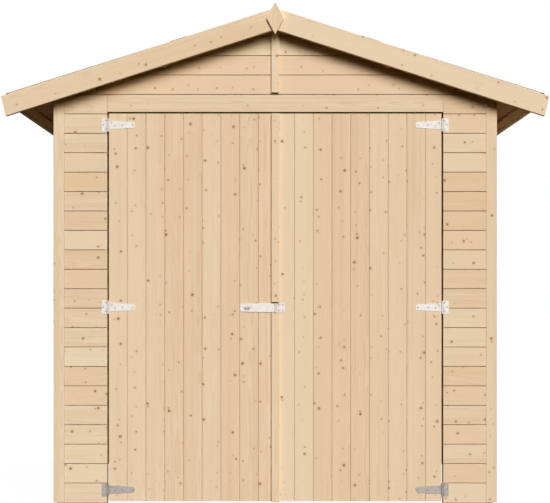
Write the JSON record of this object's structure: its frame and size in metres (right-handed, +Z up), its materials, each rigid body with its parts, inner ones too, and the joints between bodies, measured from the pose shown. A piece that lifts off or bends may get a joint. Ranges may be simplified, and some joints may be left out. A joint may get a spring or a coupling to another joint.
{
  "type": "wooden garage",
  "caption": "Timber-framed garage with horizontal shiplap walls, a low felted gable roof, and ledged and braced double doors on T-hinges, closed by a hasp and staple.",
  "frame": {"origin": "on the ground, in the middle of the building's outline", "axes": "+Z up; the doors face -Y; +X is to the right of someone who faces the doors"},
  "size_m": [2.461, 3.24, 2.2611],
  "materials": {
    "spruce_boards": "matt",
    "spruce_trim": "matt",
    "rough_framing": "rough sawn",
    "roof_felt": "mineral grit",
    "zinc_plated_steel": "satin"
  },
  "bodies": {
    "garage": {"front_left_cladding": "spruce_boards", "front_right_cladding": "spruce_boards", "front_header_board": "spruce_boards", "front_gable_cladding": "spruce_boards", "front_wall_studs": "rough_framing", "front_wall_rails": "rough_framing", "front_corner_trims": "spruce_trim", "side_corner_trims": "spruce_trim", "back_corner_trims": "spruce_trim", "left_wall_cladding": "spruce_boards", "right_wall_cladding": "spruce_boards", "side_wall_studs": "rough_framing", "side_wall_rails": "rough_framing", "back_wall_cladding": "spruce_boards", "back_gable_cladding": "spruce_boards", "back_wall_studs": "rough_framing", "back_wall_rails": "rough_framing", "gable_frames": "rough_framing", "gable_battens": "spruce_trim", "purlins": "rough_framing", "left_roof_boards": "spruce_boards", "right_roof_boards": "spruce_boards", "eave_laths": "rough_framing", "eave_trims": "spruce_trim", "left_roof_felt": "roof_felt", "right_roof_felt": "roof_felt", "ridge_felt": "roof_felt", "front_barge_boards": "spruce_trim", "back_barge_boards": "spruce_trim", "verge_battens": "rough_framing", "finials": "spruce_trim", "left_hinge_plates": "zinc_plated_steel", "right_hinge_plates": "zinc_plated_steel"},
    "right_door": {"right_door_boards": "spruce_boards", "right_door_ledges": "rough_framing", "right_door_braces": "rough_framing", "right_door_straps": "zinc_plated_steel", "door_cover_strip": "spruce_trim", "hasp_plate": "zinc_plated_steel"},
    "left_door": {"left_door_boards": "spruce_boards", "left_door_ledges": "rough_framing", "left_door_braces": "rough_framing", "left_door_straps": "zinc_plated_steel", "hasp_staple": "zinc_plated_steel"},
    "hasp_arm": {"hasp_arm": "zinc_plated_steel"}
  },
  "joints": [
    {"name": "right_door_hinge", "type": "hinge", "parent": "garage", "child": "right_door", "pos_m": [0.75675, -1.5048, 0.8905], "axis": [0, 0, 1], "range_deg": [0, 145]},
    {"name": "left_door_hinge", "type": "hinge", "parent": "garage", "child": "left_door", "pos_m": [-0.75675, -1.5048, 0.8905], "axis": [0, 0, -1], "range_deg": [0, 145]},
    {"name": "hasp_hinge", "type": "hinge", "parent": "right_door", "child": "hasp_arm", "pos_m": [0.001, -1.5043, 0.889], "axis": [0, 0, 1], "range_deg": [0, 175]}
  ],
  "couplings": [
    {"joint": "left_door_hinge", "follows": "right_door_hinge", "ratio": 1}
  ]
}
